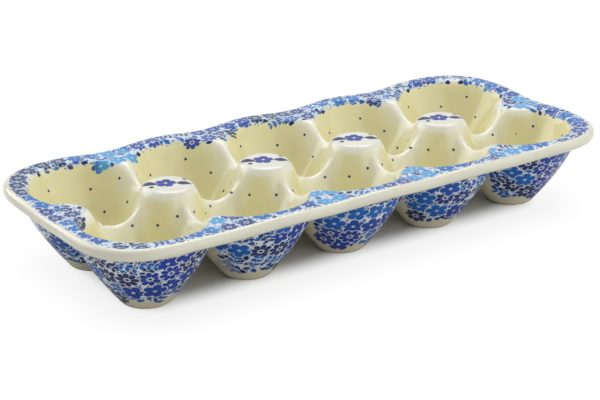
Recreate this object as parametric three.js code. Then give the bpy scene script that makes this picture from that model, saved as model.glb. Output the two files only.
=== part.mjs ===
// A glazed stoneware egg crate: two rows of egg cups under one scalloped rim,
// with a flat-topped post wherever four cups meet. It is one thick shell, drawn
// here as its cups, posts and lengths of rim, which meet on upright borders.
// Millimetres. +X runs along the length, -Y is the front, +Z is up, and the
// origin is under the middle of the crate, on the table.
import * as THREE from 'three';
import { mergeVertices } from 'three/addons/utils/BufferGeometryUtils.js';

// Layout of the cups.
const CUPS_PER_ROW = 5;
const CUP_PITCH = 60;
const ROW_PITCH = 55;
const MOUTH_OVERLAP = 2.5;

// Cup bowl and its outside.
const CUP_DEPTH = 39;
const FLOOR_THICKNESS = 6.5;
const FOOT_RADIUS = 12.5;
const WALL_AT_MOUTH = 3.5;
const SHELL_FULLNESS = 0.74;
const RIDGE_ROUNDING = 12;
const MOUTH_ROUNDING = 6;
const SHELL_ROUNDING = 8;

// Rim and lip.
const FLANGE_WIDTH = 10;
const LIP_THICKNESS = 6.4;
const RIM_DIP = 1.3;
const SIDE_SCALLOP = 1.6;
const END_SCALLOP = 0.8;
const CORNER_SQUARENESS = 2.55;

// Posts.
const POST_RADIUS = 14;
const POST_SHOULDER = 2;
const POST_RISE = 1;
const POST_STEEPNESS = 2.86;
const POST_EDGE = 1.6;
const POST_ROUNDING = 3;
const POST_WALL = 6.5;
const END_POST_RADIUS = 11.5;

// How finely each curve is divided.
const SIDE_STEPS = 6;
const CORNER_STEPS = 8;
const END_STEPS = 5;
const POST_STEPS = 6;
const COLUMN_STEPS = 2;
const ROW_STEPS = 3;
const LIP_STEPS = 3;
const CUP_RINGS = [0.3, 0.6, 0.85, 1];
const POST_RINGS = [0.45, 0.7, 0.85, 1];
const RIM_RINGS = [0, 0.3, 0.6];

// Sizes that follow from those above.
const HALF_PITCH = CUP_PITCH / 2;
const HALF_ROW = ROW_PITCH / 2;
const END_CUP_X = (CUPS_PER_ROW - 1) * HALF_PITCH;
const MOUTH_RADIUS = Math.max(HALF_PITCH, HALF_ROW) + MOUTH_OVERLAP;
const SHELL_RADIUS = MOUTH_RADIUS + WALL_AT_MOUTH;
const OUTER_REACH = MOUTH_RADIUS + FLANGE_WIDTH;
const RIM_TOP = FLOOR_THICKNESS + CUP_DEPTH;
const UNDERSIDE = RIM_TOP - LIP_THICKNESS;
const POST_TOP = RIM_TOP + POST_RISE;

// Where a mouth circle crosses the border with the next cup and the next row.
const COLUMN_CHORD = Math.sqrt(MOUTH_RADIUS ** 2 - HALF_PITCH ** 2);
const ROW_CHORD = Math.sqrt(MOUTH_RADIUS ** 2 - HALF_ROW ** 2);
const SIDE_ANGLE = Math.acos(COLUMN_CHORD / MOUTH_RADIUS);
const END_ANGLE = Math.acos(ROW_CHORD / MOUTH_RADIUS);

// A post's own piece ends a shoulder's width down its flank.
const POST_BORDER = POST_RADIUS + POST_SHOULDER;

// The cups and posts, with the way each cup is turned so that its own -Y faces
// the nearest long side and its own -X faces the nearest end.
const cups = [];
const posts = [];
for (let column = 0; column < CUPS_PER_ROW; column += 1) {
  const x = column * CUP_PITCH - END_CUP_X;
  const atEnd = column === 0 || column === CUPS_PER_ROW - 1;
  const turnX = column === CUPS_PER_ROW - 1 ? -1 : 1;
  cups.push({ name: `front_${column + 1}`, x, y: -HALF_ROW, turnX, turnY: 1, atEnd });
  cups.push({ name: `back_${column + 1}`, x, y: HALF_ROW, turnX, turnY: -1, atEnd });
  if (column > 0) {
    posts.push({ name: `post_${column}`, x: x - HALF_PITCH, y: 0 });
  }
}

// Half posts, level with the rim, that end the line of posts.
const endPosts = [-1, 1].map((side) => ({ x: side * (END_CUP_X + HALF_PITCH), y: 0 }));

// The lower of two heights, rounded over where they lie within a given width.
function roundedMin(a, b, width) {
  const overlap = Math.max(width - Math.abs(a - b), 0);
  return Math.min(a, b) - overlap ** 2 / (4 * width);
}

function roundedMax(a, b, width) {
  return -roundedMin(-a, -b, width);
}

// A round post: flat on top, rolling over at its radius into a straight flank.
function postHeight(post, x, y, radius, top) {
  const beyond = Math.hypot(x - post.x, y - post.y) - radius;
  return top - POST_STEEPNESS * POST_EDGE * Math.log1p(Math.exp(beyond / POST_EDGE));
}

// How far along from a cup's centre to the border with the next: 0 to 1 and back.
function between(along, pitch) {
  return (1 - Math.cos((2 * Math.PI * along) / pitch)) / 2;
}

// The top of the rim, a little lower between cups on the sides and the ends.
function rimHeight(x, y) {
  const onSide = Math.abs(x) < END_CUP_X ? between(x - END_CUP_X, CUP_PITCH) : 0;
  const onEnd = Math.abs(y) < HALF_ROW ? between(y - HALF_ROW, ROW_PITCH) : 0;
  return RIM_TOP - RIM_DIP * Math.max(onSide, onEnd);
}

// The glazed upper surface: paraboloid bowls sunk in the rim, and the posts.
function upperHeight(x, y) {
  let bowls = Infinity;
  for (const cup of cups) {
    const share = Math.hypot(x - cup.x, y - cup.y) / MOUTH_RADIUS;
    bowls = roundedMin(bowls, FLOOR_THICKNESS + CUP_DEPTH * share ** 2, RIDGE_ROUNDING);
  }
  for (const post of endPosts) {
    const flank = postHeight(post, x, y, END_POST_RADIUS, RIM_TOP + MOUTH_ROUNDING);
    bowls = roundedMax(bowls, flank, POST_ROUNDING);
  }
  let height = roundedMin(bowls, rimHeight(x, y), MOUTH_ROUNDING);
  for (const post of posts) {
    height = roundedMax(height, postHeight(post, x, y, POST_RADIUS, POST_TOP), POST_ROUNDING);
  }
  return height;
}

// The under surface: each cup is flat at its foot and rises ever more steeply to
// its full radius under the rim, and the posts are hollow from below.
function underHeight(x, y) {
  let height = rimHeight(x, y) - LIP_THICKNESS;
  for (const cup of cups) {
    const distance = Math.hypot(x - cup.x, y - cup.y);
    const share = Math.max(distance - FOOT_RADIUS, 0) / (SHELL_RADIUS - FOOT_RADIUS);
    const fall = Math.sign(1 - share) * Math.abs(1 - share) ** SHELL_FULLNESS;
    height = roundedMin(height, UNDERSIDE * (1 - fall), SHELL_ROUNDING);
  }
  for (const post of posts) {
    const hollow = postHeight(post, x, y, POST_RADIUS - POST_WALL, POST_TOP - POST_WALL);
    height = roundedMax(height, hollow, POST_ROUNDING);
  }
  return height;
}

// A closed solid between two grids of points with the same rows and columns.
// Rows run outwards and columns anticlockwise; a wrapped grid goes full circle.
function closedSolid(upper, under, wrapped) {
  const corners = [];
  const triangle = (a, b, c) => {
    if (a !== b && b !== c && c !== a) {
      corners.push(a, b, c);
    }
  };
  const quad = (a, b, c, d) => {
    triangle(a, b, c);
    triangle(a, c, d);
  };
  const columns = upper[0].length;
  const outer = upper.length - 1;
  const spans = wrapped ? columns : columns - 1;
  for (let k = 0; k < spans; k += 1) {
    const next = (k + 1) % columns;
    for (let j = 0; j < outer; j += 1) {
      quad(upper[j][k], upper[j + 1][k], upper[j + 1][next], upper[j][next]);
      quad(under[j][k], under[j][next], under[j + 1][next], under[j + 1][k]);
    }
    quad(upper[0][k], upper[0][next], under[0][next], under[0][k]);
    quad(upper[outer][k], under[outer][k], under[outer][next], upper[outer][next]);
  }
  if (!wrapped) {
    for (let j = 0; j < outer; j += 1) {
      const [upperIn, upperOut, underIn, underOut] = [upper[j], upper[j + 1], under[j], under[j + 1]];
      quad(upperIn[0], underIn[0], underOut[0], upperOut[0]);
      quad(upperIn[spans], upperOut[spans], underOut[spans], underIn[spans]);
    }
  }
  const solid = mergeVertices(new THREE.BufferGeometry().setFromPoints(corners));
  solid.computeVertexNormals();
  return solid;
}

function surfacePoint(place, heightAt) {
  return new THREE.Vector3(place.x, place.y, heightAt(place.x, place.y));
}

// A solid over the plan that a loop encloses: its rings shrink from the loop to
// a round core, and then to the centre.
function solidInLoop(centre, loop, core, rings) {
  const ringPlaces = (share) => loop.map((border) => {
    const ray = border.clone().sub(centre);
    return centre.clone().addScaledVector(ray, core / ray.length() + share * (1 - core / ray.length()));
  });
  const gridFor = (heightAt) => {
    const middle = surfacePoint(centre, heightAt);
    const halfCore = loop.map((border) => border.clone().sub(centre).setLength(core / 2).add(centre));
    const circles = core > 0 ? [halfCore, ringPlaces(0)] : [];
    const places = circles.concat(rings.map(ringPlaces));
    const rows = places.map((ring) => ring.map((place) => surfacePoint(place, heightAt)));
    return [loop.map(() => middle), ...rows];
  };
  return closedSolid(gridFor(upperHeight), gridFor(underHeight), true);
}

// Evenly spread points from one angle to another, or from one place to another.
function arcPlaces(x, y, radius, from, to, steps) {
  return Array.from({ length: steps + 1 }, (_, k) => {
    const angle = from + (to - from) * (k / steps);
    return new THREE.Vector2(x + radius * Math.cos(angle), y + radius * Math.sin(angle));
  });
}

function linePlaces(from, to, steps) {
  return Array.from({ length: steps + 1 }, (_, k) => from.clone().lerp(to, k / steps));
}

// Stretches of rim round a cup, as the cup's own angle and the plan of the edge
// at a given reach from the cup's centre. The side and end edges dip between cups.
const DOWN = 1.5 * Math.PI;
const sideEdge = (x, reach) => new THREE.Vector2(x, SIDE_SCALLOP * between(x, CUP_PITCH) - reach);
const endEdge = (y, reach) => new THREE.Vector2(END_SCALLOP * between(y, ROW_PITCH) - reach, y);
const bulge = (value) => Math.max(value, 0) ** (2 / CORNER_SQUARENESS);
const cornerEdge = (turn, reach) => new THREE.Vector2(
  -reach * bulge(Math.cos(turn)),
  -reach * bulge(Math.sin(turn)),
);
const sideBefore = {
  steps: SIDE_STEPS,
  angle: (t) => DOWN - SIDE_ANGLE * (1 - t),
  edge: (t, reach) => sideEdge(HALF_PITCH * (t - 1), reach),
};
const sideAfter = {
  steps: SIDE_STEPS,
  angle: (t) => DOWN + SIDE_ANGLE * t,
  edge: (t, reach) => sideEdge(HALF_PITCH * t, reach),
};
const corner = {
  steps: CORNER_STEPS,
  angle: (t) => Math.PI * (1 + t / 2),
  edge: (t, reach) => cornerEdge(t * Math.PI / 2, reach),
};
const end = {
  steps: END_STEPS,
  angle: (t) => Math.PI - END_ANGLE * (1 - t),
  edge: (t, reach) => endEdge(HALF_ROW * (1 - t), reach),
};

// The columns of a cup's rim, each with its place on the mouth and its edge.
function rimColumns(cup) {
  const stretches = cup.atEnd ? [end, corner, sideAfter] : [sideBefore, sideAfter];
  const columns = [];
  stretches.forEach((stretch, order) => {
    for (let k = order > 0 ? 1 : 0; k <= stretch.steps; k += 1) {
      const t = k / stretch.steps;
      const angle = stretch.angle(t);
      const mouth = new THREE.Vector2(Math.cos(angle), Math.sin(angle)).multiplyScalar(MOUTH_RADIUS);
      columns.push({ mouth, edgeAt: (reach) => stretch.edge(t, reach) });
    }
  });
  return columns;
}

// From a cup's own plan to the crate's; a mirrored list is turned round so that
// it still runs anticlockwise.
function inCrate(cup, place) {
  return new THREE.Vector2(cup.x + cup.turnX * place.x, cup.y + cup.turnY * place.y);
}

function anticlockwise(cup, list) {
  return cup.turnX * cup.turnY < 0 ? list.reverse() : list;
}

// A cup: inside its mouth circle, the borders with its neighbours and the posts.
function cupSolid(cup) {
  const mouth = rimColumns(cup).map((column) => column.mouth);
  const postArc = (side, from, to) =>
    arcPlaces(side * HALF_PITCH, HALF_ROW, POST_BORDER, from, to, POST_STEPS);
  const columnBorder = (side) => linePlaces(
    new THREE.Vector2(side * HALF_PITCH, -COLUMN_CHORD),
    new THREE.Vector2(side * HALF_PITCH, HALF_ROW - POST_BORDER),
    COLUMN_STEPS,
  );
  const rowStart = new THREE.Vector2(HALF_PITCH - POST_BORDER, HALF_ROW);
  const rowEnd = new THREE.Vector2(cup.atEnd ? -ROW_CHORD : POST_BORDER - HALF_PITCH, HALF_ROW);
  const rowBorder = linePlaces(rowStart, rowEnd, ROW_STEPS);
  const stretches = [mouth, columnBorder(1), postArc(1, DOWN, Math.PI), rowBorder];
  if (!cup.atEnd) {
    stretches.push(postArc(-1, 0, -Math.PI / 2), columnBorder(-1).reverse());
  }
  const loop = stretches.flatMap((stretch) => stretch.slice(0, -1));
  const placed = anticlockwise(cup, loop.map((place) => inCrate(cup, place)));
  return solidInLoop(new THREE.Vector2(cup.x, cup.y), placed, FOOT_RADIUS, CUP_RINGS);
}

// A post: a round of shell at the meeting of four cups.
function postSolid(post) {
  const loop = arcPlaces(post.x, post.y, POST_BORDER, 0, 2 * Math.PI, 4 * POST_STEPS).slice(0, -1);
  return solidInLoop(new THREE.Vector2(post.x, post.y), loop, 0, POST_RINGS);
}

// A length of rim: flat from the mouth to the lip, which is a half round.
function rimSolid(cup) {
  const lipRadius = LIP_THICKNESS / 2;
  const columns = rimColumns(cup).map((column) => {
    const flatEdge = column.edgeAt(OUTER_REACH - lipRadius);
    const flat = RIM_RINGS.map((share) => column.mouth.clone().lerp(flatEdge, share));
    const upper = flat.map((place) => surfacePoint(inCrate(cup, place), upperHeight));
    const under = flat.map((place) => surfacePoint(inCrate(cup, place), underHeight));
    for (let step = 0; step <= LIP_STEPS; step += 1) {
      const roll = (step / LIP_STEPS) * (Math.PI / 2);
      const place = inCrate(cup, column.edgeAt(OUTER_REACH - lipRadius * (1 - Math.sin(roll))));
      const middle = rimHeight(place.x, place.y) - lipRadius;
      const lift = lipRadius * Math.cos(roll);
      upper.push(new THREE.Vector3(place.x, place.y, middle + lift));
      under.push(step < LIP_STEPS
        ? new THREE.Vector3(place.x, place.y, middle - lift)
        : upper.at(-1));
    }
    return { upper, under };
  });
  const ordered = anticlockwise(cup, columns);
  const rows = ordered[0].upper.map((_, j) => j);
  const grid = (side) => rows.map((j) => ordered.map((column) => column[side][j]));
  return closedSolid(grid('upper'), grid('under'), false);
}

// Ivory glaze in the cups, whiter on the posts, and the blue of the printed rim.
const cupGlaze = new THREE.MeshStandardMaterial({ color: 0xe4dcbf, roughness: 0.18, metalness: 0 });
const postGlaze = new THREE.MeshStandardMaterial({ color: 0xeeeadb, roughness: 0.18, metalness: 0 });
const rimGlaze = new THREE.MeshStandardMaterial({ color: 0x9db2d8, roughness: 0.18, metalness: 0 });

const eggCrate = new THREE.Group();
function addPiece(name, solid, glaze) {
  const piece = new THREE.Mesh(solid, glaze);
  piece.name = name;
  eggCrate.add(piece);
}
for (const cup of cups) {
  addPiece(`egg_cup_${cup.name}`, cupSolid(cup), cupGlaze);
  addPiece(`rim_${cup.name}`, rimSolid(cup), rimGlaze);
}
for (const post of posts) {
  addPiece(post.name, postSolid(post), postGlaze);
}

export default eggCrate;
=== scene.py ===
import math

import bpy
import numpy as np
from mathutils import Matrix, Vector


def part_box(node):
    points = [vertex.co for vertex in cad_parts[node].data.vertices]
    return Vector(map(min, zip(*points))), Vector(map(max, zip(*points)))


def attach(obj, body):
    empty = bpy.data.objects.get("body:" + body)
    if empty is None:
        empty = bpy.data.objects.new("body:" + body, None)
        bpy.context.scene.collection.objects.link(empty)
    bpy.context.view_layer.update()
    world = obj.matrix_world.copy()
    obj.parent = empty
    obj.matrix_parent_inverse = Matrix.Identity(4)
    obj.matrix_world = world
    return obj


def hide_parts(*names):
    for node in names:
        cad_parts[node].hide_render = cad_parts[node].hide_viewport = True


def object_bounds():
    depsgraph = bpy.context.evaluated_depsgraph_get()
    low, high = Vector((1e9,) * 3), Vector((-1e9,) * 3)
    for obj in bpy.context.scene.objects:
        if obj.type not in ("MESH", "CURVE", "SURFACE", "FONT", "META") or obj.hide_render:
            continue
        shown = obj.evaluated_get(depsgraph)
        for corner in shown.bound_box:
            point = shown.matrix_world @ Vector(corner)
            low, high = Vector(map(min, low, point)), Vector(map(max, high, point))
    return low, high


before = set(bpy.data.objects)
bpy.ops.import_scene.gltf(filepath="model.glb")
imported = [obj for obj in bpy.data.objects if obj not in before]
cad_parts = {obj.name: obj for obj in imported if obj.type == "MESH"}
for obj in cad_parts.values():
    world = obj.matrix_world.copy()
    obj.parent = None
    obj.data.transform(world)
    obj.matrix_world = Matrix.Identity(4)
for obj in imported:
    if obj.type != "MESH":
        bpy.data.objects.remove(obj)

# Metres throughout. +X runs along the crate, -Y is the front and +Z is up.
cad_low, cad_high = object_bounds()

# Places and sizes that the frame gives.
POST_COUNT = 4
POST_NAMES = [f"post_{number}" for number in range(1, POST_COUNT + 1)]
POST_XS = [(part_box(name)[0].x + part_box(name)[1].x) / 2 for name in POST_NAMES]
POST_BORDER = (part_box(POST_NAMES[0])[1].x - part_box(POST_NAMES[0])[0].x) / 2
CUP_PITCH = POST_XS[1] - POST_XS[0]
HALF_PITCH = CUP_PITCH / 2
END_CUP_X = POST_XS[-1] + HALF_PITCH
CUPS_PER_ROW = POST_COUNT + 1
OUTER_REACH = cad_high.x - END_CUP_X
HALF_ROW = cad_high.y - OUTER_REACH
ROW_PITCH = 2 * HALF_ROW

# Cup bowl and its outside.
CUP_DEPTH = 0.039
FLOOR_THICKNESS = 0.0065
FOOT_RADIUS = 0.0125
FOOT_ROUNDING = 0.0016
WALL_AT_MOUTH = 0.0035
SHELL_FULLNESS = 0.74
RIDGE_ROUNDING = 0.016
MOUTH_ROUNDING = 0.006
SHELL_ROUNDING = 0.008

# Rim and lip.
FLANGE_WIDTH = 0.010
LIP_THICKNESS = 0.0064
RIM_DIP = 0.0013
SIDE_SCALLOP = 0.0016
END_SCALLOP = 0.0008
CORNER_SQUARENESS = 2.55

# Posts.
POST_RADIUS = 0.014
POST_RISE = 0.001
POST_STEEPNESS = 2.86
POST_EDGE = 0.0012
POST_ROUNDING = 0.003
CREASE_ROUNDING = 0.009
CREASE_FROM = 0.002
CREASE_TO = 0.008
POST_WALL = 0.0065
END_POST_RADIUS = 0.0115

# Bends of the surface, per metre, where the glaze is full and where it has run thin, which is painted
# paler, partly as a highlight on the crests.
PALENESS_START_BEND = 75
PALENESS_FULL_BEND = 150
BEND_STEP = 0.001

# Distances from the ridges between cups where a painted highlight along them is strongest and where it
# ends, and its strength on a ridge.
RIDGE_CREST = 0.002
RIDGE_FOOT = 0.011
RIDGE_HIGHLIGHT = 0.7

# Sizes that follow from those above.
MOUTH_RADIUS = OUTER_REACH - FLANGE_WIDTH
SHELL_RADIUS = MOUTH_RADIUS + WALL_AT_MOUTH
RIM_TOP = FLOOR_THICKNESS + CUP_DEPTH
UNDERSIDE = RIM_TOP - LIP_THICKNESS
POST_TOP = RIM_TOP + POST_RISE
LIP_RADIUS = LIP_THICKNESS / 2
COLUMN_CHORD = math.sqrt(MOUTH_RADIUS ** 2 - HALF_PITCH ** 2)
ROW_CHORD = math.sqrt(MOUTH_RADIUS ** 2 - HALF_ROW ** 2)
SIDE_ANGLE = math.acos(COLUMN_CHORD / MOUTH_RADIUS)
END_ANGLE = math.acos(ROW_CHORD / MOUTH_RADIUS)

# How finely the surfaces are divided, the step that slopes are taken over, and how near points are one.
SIDE_COLUMNS = 61
END_COLUMNS = 25
CORNER_COLUMNS = 41
POST_COLUMNS = 21
BORDER_COLUMNS = 16
CORE_RINGS = 10
CUP_RINGS = 38
POST_RINGS = 30
FLAT_ROWS = 16
LIP_ROWS = 11
SLOPE_STEP = 1e-6
SAME_POINT = 1e-9

CUPS = [(column, row) for column in range(CUPS_PER_ROW) for row in (-1, 1)]


def cup_place(column, row):
    """A cup's centre: whole pitches along its row, and half a row pitch to the front or back."""
    return column * CUP_PITCH - END_CUP_X, row * HALF_ROW


# The glazed shell as heights over the plan.
def rounded_min(a, b, width):
    """The lower of two heights, less a square law of how near they are within a width."""
    overlap = np.maximum(width - np.abs(a - b), 0)
    return np.minimum(a, b) - overlap ** 2 / (4 * width)


def rounded_max(a, b, width):
    """The higher of two heights, eased the same way."""
    return -rounded_min(-a, -b, width)


def between(along, pitch):
    """0 at a cup's centre and 1 half a pitch away: a raised cosine."""
    return (1 - np.cos(2 * np.pi * along / pitch)) / 2


def eased(value, start, stop):
    """A cubic ease from 0 at the start to 1 at the stop, and level beyond them."""
    share = np.clip((value - start) / (stop - start), 0, 1)
    return share * share * (3 - 2 * share)


def post_height(post_x, x, y, radius, top):
    """Flat inside the radius and a straight flank outside it, joined by a soft ramp."""
    beyond = np.hypot(x - post_x, y) - radius
    return top - POST_STEEPNESS * POST_EDGE * np.logaddexp(0, beyond / POST_EDGE)


def crease_width(post_x, x, y, radius):
    """The rounding where a post's flank meets the bowls: it widens down the flank by a cubic ease."""
    beyond = np.hypot(x - post_x, y) - radius
    return POST_ROUNDING + (CREASE_ROUNDING - POST_ROUNDING) * eased(beyond, CREASE_FROM, CREASE_TO)


def rim_height(x, y):
    """The rim's top, lowered by a raised cosine between cups on the sides and ends."""
    on_side = np.where(np.abs(x) < END_CUP_X, between(x - END_CUP_X, CUP_PITCH), 0)
    on_end = np.where(np.abs(y) < HALF_ROW, between(y - HALF_ROW, ROW_PITCH), 0)
    return RIM_TOP - RIM_DIP * np.maximum(on_side, on_end)


def upper_height(x, y):
    """Paraboloid bowls, eased into one another and into the rim, with the posts on top, no higher than the
    solids."""
    bowls = np.full_like(x, np.inf)
    for cup in CUPS:
        cup_x, cup_y = cup_place(*cup)
        share = np.hypot(x - cup_x, y - cup_y) / MOUTH_RADIUS
        bowls = rounded_min(bowls, FLOOR_THICKNESS + CUP_DEPTH * share ** 2, RIDGE_ROUNDING)
    for end_x in (-END_CUP_X - HALF_PITCH, END_CUP_X + HALF_PITCH):
        flank = post_height(end_x, x, y, END_POST_RADIUS, RIM_TOP + MOUTH_ROUNDING)
        bowls = rounded_max(bowls, flank, crease_width(end_x, x, y, END_POST_RADIUS))
    height = rounded_min(bowls, rim_height(x, y), MOUTH_ROUNDING)
    for post_x in POST_XS:
        post = post_height(post_x, x, y, POST_RADIUS, POST_TOP)
        height = rounded_max(height, post, crease_width(post_x, x, y, POST_RADIUS))
    return np.minimum(height, cad_high.z)


def under_height(x, y):
    """Each cup is flat at its foot and rises by a power law to its radius at the rim; posts are hollow."""
    height = rim_height(x, y) - LIP_THICKNESS
    for cup in CUPS:
        cup_x, cup_y = cup_place(*cup)
        share = (np.hypot(x - cup_x, y - cup_y) - FOOT_RADIUS) / (SHELL_RADIUS - FOOT_RADIUS)
        fall = np.sign(1 - share) * np.abs(1 - share) ** SHELL_FULLNESS
        shell = rounded_max(UNDERSIDE * (1 - fall), 0, FOOT_ROUNDING)
        height = rounded_min(height, shell, SHELL_ROUNDING)
    for post_x in POST_XS:
        hollow = post_height(post_x, x, y, POST_RADIUS - POST_WALL, POST_TOP - POST_WALL)
        height = rounded_max(height, hollow, POST_ROUNDING)
    return height


def upward_normals(height, x, y):
    """Unit normals of a height over a plan, from its slope both ways."""
    slope_x = (height(x + SLOPE_STEP, y) - height(x - SLOPE_STEP, y)) / (2 * SLOPE_STEP)
    slope_y = (height(x, y + SLOPE_STEP) - height(x, y - SLOPE_STEP)) / (2 * SLOPE_STEP)
    normals = np.stack([-slope_x, -slope_y, np.ones_like(x)], axis=-1)
    return normals / np.linalg.norm(normals, axis=-1, keepdims=True)


def surface(height, x, y):
    """Points of a height over a plan, and the normals there."""
    return np.stack([x, y, height(x, y)], axis=-1), upward_normals(height, x, y)


def thinness_and_highlight(x, y):
    """How pale the upper side is painted, partly for glaze that has run thin and partly as a painted
    highlight:
    from 0 in a hollow or on a gentle bend to 1 on a sharp crest, by how fast the normals spread along X and
    along Y, or a set painted highlight near the ridges between cups, whichever is more."""
    ahead_x = upward_normals(upper_height, x + BEND_STEP, y)
    behind_x = upward_normals(upper_height, x - BEND_STEP, y)
    ahead_y = upward_normals(upper_height, x, y + BEND_STEP)
    behind_y = upward_normals(upper_height, x, y - BEND_STEP)
    bend = ((ahead_x - behind_x)[..., 0] + (ahead_y - behind_y)[..., 1]) / (2 * BEND_STEP)
    from_ridge = np.minimum(np.abs(x[..., None] - POST_XS).min(axis=-1), np.abs(y))
    ridge = RIDGE_HIGHLIGHT * eased(from_ridge, RIDGE_FOOT, RIDGE_CREST)
    return np.maximum(eased(bend, PALENESS_START_BEND, PALENESS_FULL_BEND), ridge)


# Plans of the pieces, in a cup's own frame: its -Y faces the near long side, its -X the near end.
def side_edge(x, reach):
    """A line at a reach along the long side, drawn in by a raised cosine between cups."""
    return np.stack([x, SIDE_SCALLOP * between(x, CUP_PITCH) - reach], axis=-1)


def end_edge(y, reach):
    """A line at a reach along the end, drawn in by a raised cosine between the two rows."""
    return np.stack([END_SCALLOP * between(y, ROW_PITCH) - reach, y], axis=-1)


def corner_edge(turn, reach):
    """A quarter of a superellipse, from the end round to the side."""
    power = 2 / CORNER_SQUARENESS
    bulge = np.stack([np.cos(turn), np.sin(turn)], axis=-1)
    return -reach * np.maximum(bulge, 0) ** power


def rim_columns(at_end):
    """The angles on the mouth circle where a cup's rim has its columns, and the edge they lead to: the
    side, or at an end cup half the end, the corner and half the side."""
    side_x = np.linspace(-HALF_PITCH, HALF_PITCH, 2 * SIDE_COLUMNS - 1)
    front = 1.5 * np.pi
    if not at_end:
        return front + SIDE_ANGLE * side_x / HALF_PITCH, lambda reach: side_edge(side_x, reach)
    half_side_x = side_x[SIDE_COLUMNS:]
    end_y = np.linspace(HALF_ROW, 0, END_COLUMNS)
    turn = np.linspace(0, np.pi / 2, CORNER_COLUMNS)[1:]
    end_angles = np.pi - END_ANGLE * end_y / HALF_ROW
    side_angles = front + SIDE_ANGLE * half_side_x / HALF_PITCH

    def edge(reach):
        """The end, the corner and the side at a reach, one after another."""
        stretches = [end_edge(end_y, reach), corner_edge(turn, reach), side_edge(half_side_x, reach)]
        return np.concatenate(stretches)

    return np.concatenate([end_angles, np.pi + turn, side_angles]), edge


def arc(x, y, radius, angles):
    """Points of a circle about a centre, by the cosine and sine of their angles."""
    return np.stack([x + radius * np.cos(angles), y + radius * np.sin(angles)], axis=-1)


def cup_border(at_end):
    """The plan border of a cup: its mouth arc, the lines it shares with other cups, and round the posts."""
    mouth = arc(0, 0, MOUTH_RADIUS, rim_columns(at_end)[0])
    row_line_end = -ROW_CHORD if at_end else POST_BORDER - HALF_PITCH
    column_ends = ((HALF_PITCH, -COLUMN_CHORD), (HALF_PITCH, HALF_ROW - POST_BORDER))
    row_ends = ((HALF_PITCH - POST_BORDER, HALF_ROW), (row_line_end, HALF_ROW))
    column_line = np.linspace(*column_ends, BORDER_COLUMNS)
    next_post = arc(HALF_PITCH, HALF_ROW, POST_BORDER, np.linspace(1.5 * np.pi, np.pi, POST_COLUMNS))
    row_line = np.linspace(*row_ends, BORDER_COLUMNS)
    stretches = [mouth, column_line, next_post, row_line]
    if not at_end:
        stretches.append(arc(-HALF_PITCH, HALF_ROW, POST_BORDER, np.linspace(0, -np.pi / 2, POST_COLUMNS)))
        stretches.append(column_line[::-1] * (-1, 1))
    return np.concatenate([stretch[:-1] for stretch in stretches])


def rings_in(border, core):
    """Rings from the middle out to a border: circles up to the core, then eased into the border's shape.
    With no core, the border's own shape at even steps."""
    span = np.linalg.norm(border, axis=-1)[None, :, None]
    outward = border[None] / span
    if core == 0:
        return outward * span * np.linspace(0, 1, POST_RINGS + 1)[:, None, None]
    core_shares = np.linspace(0, 1, CORE_RINGS + 1)[:-1, None, None]
    outer_shares = np.linspace(0, 1, CUP_RINGS + 1)[:, None, None]
    return np.concatenate([outward * core * core_shares, outward * (core + (span - core) * outer_shares)])


def in_crate(plan, column, row):
    """A cup's own plan turned to its place; a mirrored grid is reversed to keep running anticlockwise."""
    x, y = cup_place(column, row)
    turn_x = -1 if column == CUPS_PER_ROW - 1 else 1
    placed = plan * (turn_x, -row) + (x, y)
    return placed[:, ::-1] if turn_x * -row < 0 else placed


# Meshes.
def band_faces(grid):
    """Quads between the neighbouring rows and columns of a grid of vertex numbers."""
    quads = np.stack([grid[:-1, :-1], grid[1:, :-1], grid[1:, 1:], grid[:-1, 1:]], axis=-1)
    return quads.reshape(-1, 4)


def whole_faces(quads):
    """Quads, and triangles where a quad has one repeated corner; quads that are lines are left out."""
    repeated = quads == np.roll(quads, -1, axis=1)
    times = repeated.sum(axis=1)
    triangles = quads[times == 1][~repeated[times == 1]].reshape(-1, 3)
    return quads[times == 0].tolist() + triangles.tolist()


def closed_grids(upper_points, under_points, wrapped):
    """Vertex numbers of an upper and an under grid. A first row that is one point is a pole, a last row
    that both grids share is an edge, and a wrapped grid repeats its first column."""
    top = np.arange(upper_points[..., 0].size).reshape(upper_points.shape[:2])
    bottom = top + top.size
    if np.ptp(upper_points[0], axis=0).max() < SAME_POINT:
        top[0] = top[0, 0]
        bottom[0] = bottom[0, 0]
    if np.abs(upper_points[-1] - under_points[-1]).max() < SAME_POINT:
        bottom[-1] = top[-1]
    if wrapped:
        top = np.concatenate([top, top[:, :1]], axis=1)
        bottom = np.concatenate([bottom, bottom[:, :1]], axis=1)
    return top, bottom


def border_walls(top, bottom, wrapped):
    """Quads between the two grids along their first and last rows, and their sides if they are open."""
    walls = [band_faces(np.stack([bottom[0], top[0]])), band_faces(np.stack([top[-1], bottom[-1]]))]
    if not wrapped:
        walls.append(band_faces(np.stack([top[:, 0], bottom[:, 0]])))
        walls.append(band_faces(np.stack([bottom[:, -1], top[:, -1]])))
    return np.concatenate(walls)


def set_corner_normals(mesh, vertex_normals, glazed_count):
    """The surface's own normals at the corners of the glazed faces, and face normals on the walls."""
    corner_vertices = np.empty(len(mesh.loops), dtype=int)
    mesh.loops.foreach_get("vertex_index", corner_vertices)
    face_normals = np.empty(3 * len(mesh.polygons))
    mesh.polygons.foreach_get("normal", face_normals)
    face_sizes = np.empty(len(mesh.polygons), dtype=int)
    mesh.polygons.foreach_get("loop_total", face_sizes)
    corner_faces = np.repeat(np.arange(len(face_sizes)), face_sizes)
    flat_normals = face_normals.reshape(-1, 3)[corner_faces]
    on_wall = (corner_faces >= glazed_count)[:, None]
    mesh.normals_split_custom_set(np.where(on_wall, flat_normals, vertex_normals[corner_vertices]).tolist())


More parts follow.
